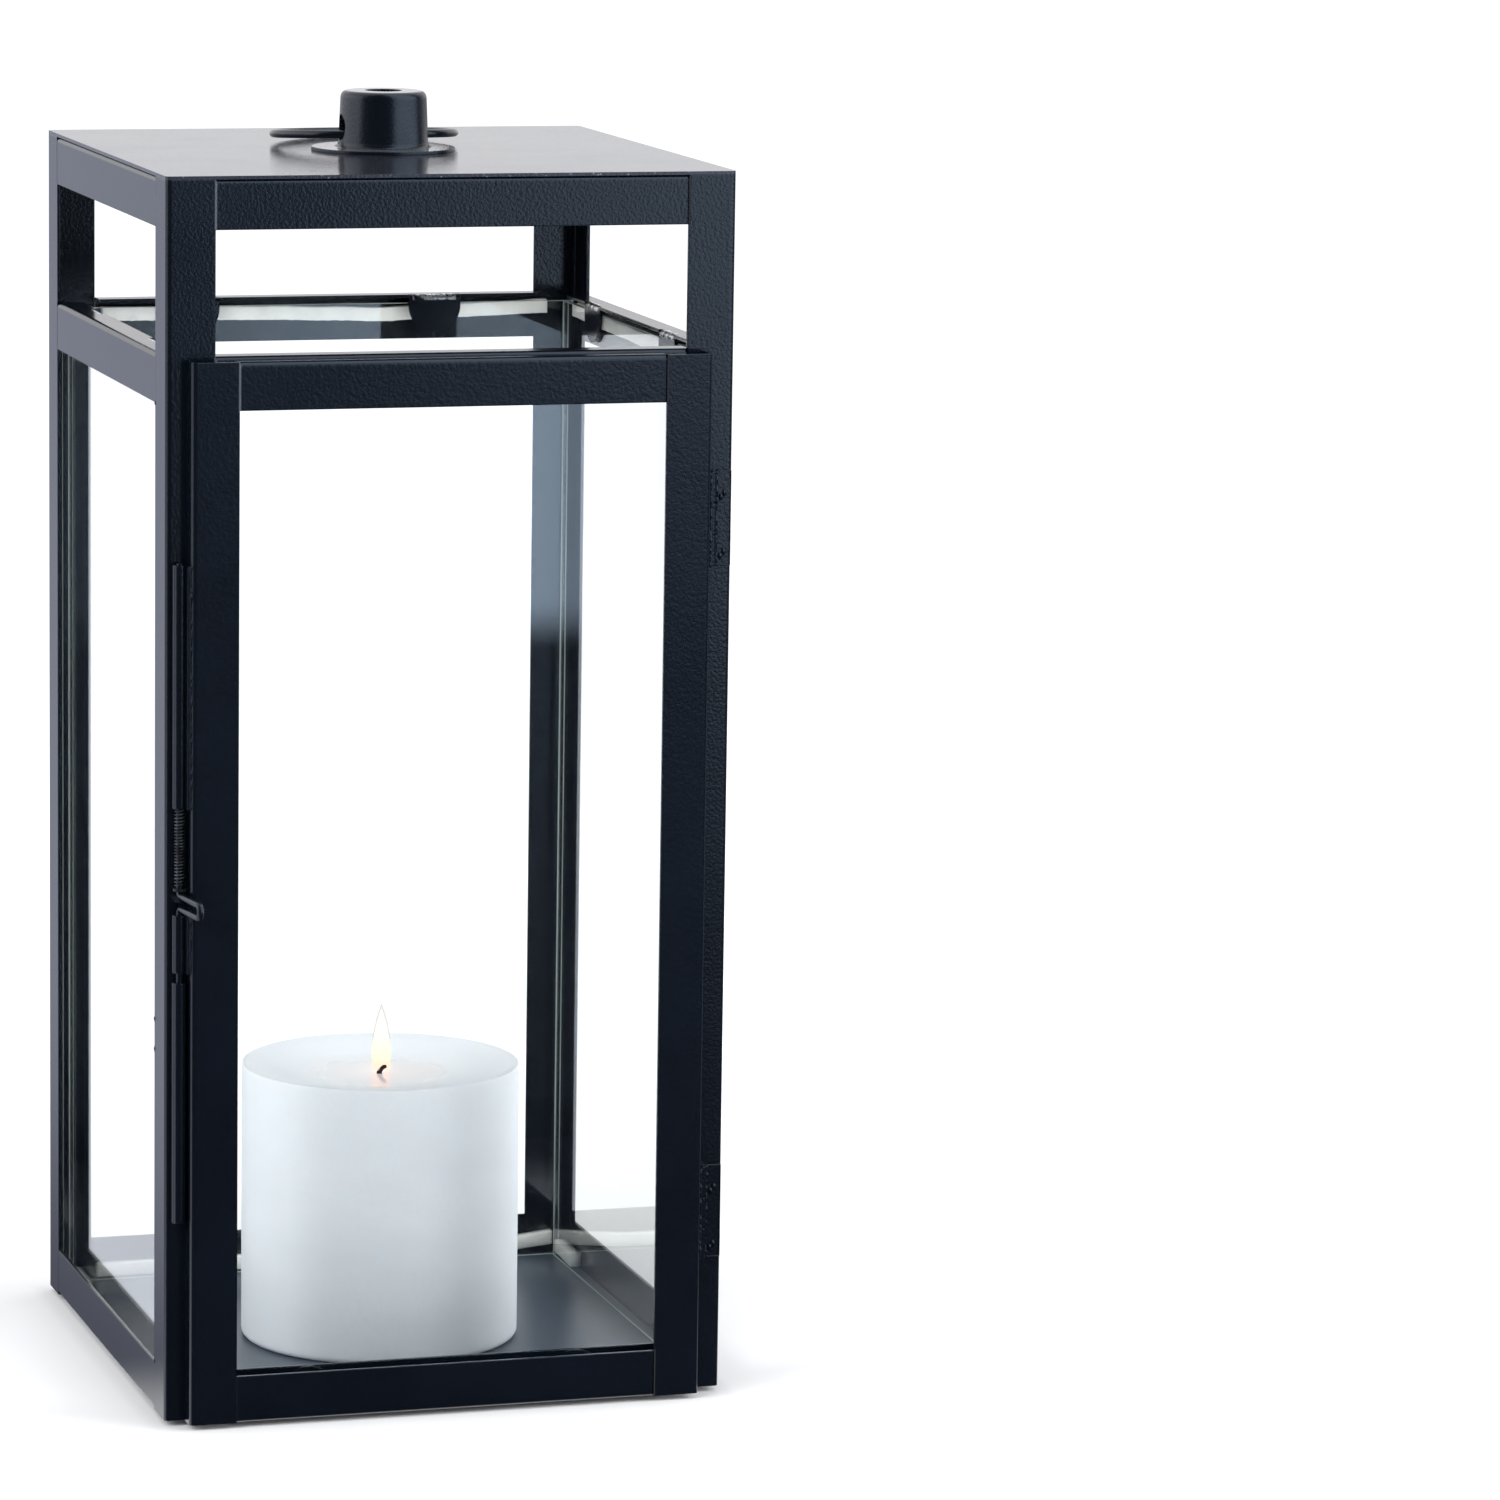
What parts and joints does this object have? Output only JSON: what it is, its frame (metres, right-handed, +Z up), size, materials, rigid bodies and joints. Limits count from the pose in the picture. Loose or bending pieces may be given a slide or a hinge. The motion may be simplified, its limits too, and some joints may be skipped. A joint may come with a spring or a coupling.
{
  "type": "hurricane candle lantern",
  "caption": "Square glazed hurricane lantern in folded black steel with a latched hinged door, open vents, a chimney knob with a lifting ring and a pillar candle.",
  "frame": {"origin": "on the ground, under the middle of the square frame", "axes": "+Z up; the door is on the -Y side; +X is the side of the door's hinges"},
  "size_m": [0.2, 0.2242, 0.453],
  "materials": {
    "coated_steel": "fine-textured satin black coating",
    "coated_tray": "satin dark grey coating",
    "bare_steel": "dull bare steel wire",
    "clear_glass": "clear float glass",
    "foam_strip": "off-white closed-cell foam",
    "pad_rubber": "matt black",
    "wax": "cool white paraffin wax, satin",
    "wick_cotton": "charred braided cotton"
  },
  "bodies": {
    "lantern": {"roof_plate": "coated_steel", "knob": "coated_steel", "post_front_left": "coated_steel", "post_front_right": "coated_steel", "post_back_right": "coated_steel", "post_back_left": "coated_steel", "top_rail_front": "coated_steel", "top_rail_right": "coated_steel", "top_rail_back": "coated_steel", "top_rail_left": "coated_steel", "mid_rail_front": "coated_steel", "mid_rail_right": "coated_steel", "mid_rail_back": "coated_steel", "mid_rail_left": "coated_steel", "bottom_rail_front": "coated_steel", "bottom_rail_right": "coated_steel", "bottom_rail_back": "coated_steel", "bottom_rail_left": "coated_steel", "floor_tray": "coated_tray", "hinge_leaf_post_upper": "coated_steel", "hinge_leaf_post_lower": "coated_steel", "hinge_pin_upper": "coated_steel", "hinge_pin_lower": "coated_steel", "latch_keeper": "coated_steel", "foot_pads": "pad_rubber", "candle": "wax", "wick": "wick_cotton", "pane_back": "clear_glass", "pane_left": "clear_glass", "pane_right": "clear_glass", "foam_back": "foam_strip", "foam_left": "foam_strip", "foam_right": "foam_strip"},
    "door": {"door_stile_latch": "coated_steel", "door_stile_hinge": "coated_steel", "door_rail_top": "coated_steel", "door_rail_bottom": "coated_steel", "door_pane": "clear_glass", "door_foam": "foam_strip", "hinge_leaf_door_upper": "coated_steel", "hinge_leaf_door_lower": "coated_steel", "latch_guide_low": "coated_steel", "latch_guide_long": "coated_steel", "latch_guide_end": "coated_steel"},
    "latch_slide": {"latch_washer": "bare_steel", "latch_spring": "bare_steel"},
    "latch_rod": {"latch_rod": "coated_steel"},
    "ring": {"carry_ring": "coated_steel"}
  },
  "joints": [
    {"name": "door_swing", "type": "hinge", "parent": "lantern", "child": "door", "pos_m": [0.0921, -0.1017, 0.189], "axis": [0, 0, 1], "range_deg": [0, 105]},
    {"name": "latch_lift", "type": "slide", "parent": "door", "child": "latch_slide", "axis": [0, 0, 1], "range_m": [0, 0.012], "stiffness_N_per_m": 200, "springref_m": -0.01, "deforming": ["latch_spring"]},
    {"name": "latch_turn", "type": "hinge", "parent": "latch_slide", "child": "latch_rod", "pos_m": [-0.0957, -0.1029, 0.185], "axis": [0, 0, 1], "range_deg": [-98, 2]},
    {"name": "ring_swing", "type": "hinge", "parent": "lantern", "child": "ring", "pos_m": [0, 0, 0.4376], "axis": [1, 0, 0], "range_deg": [0, 186]}
  ]
}
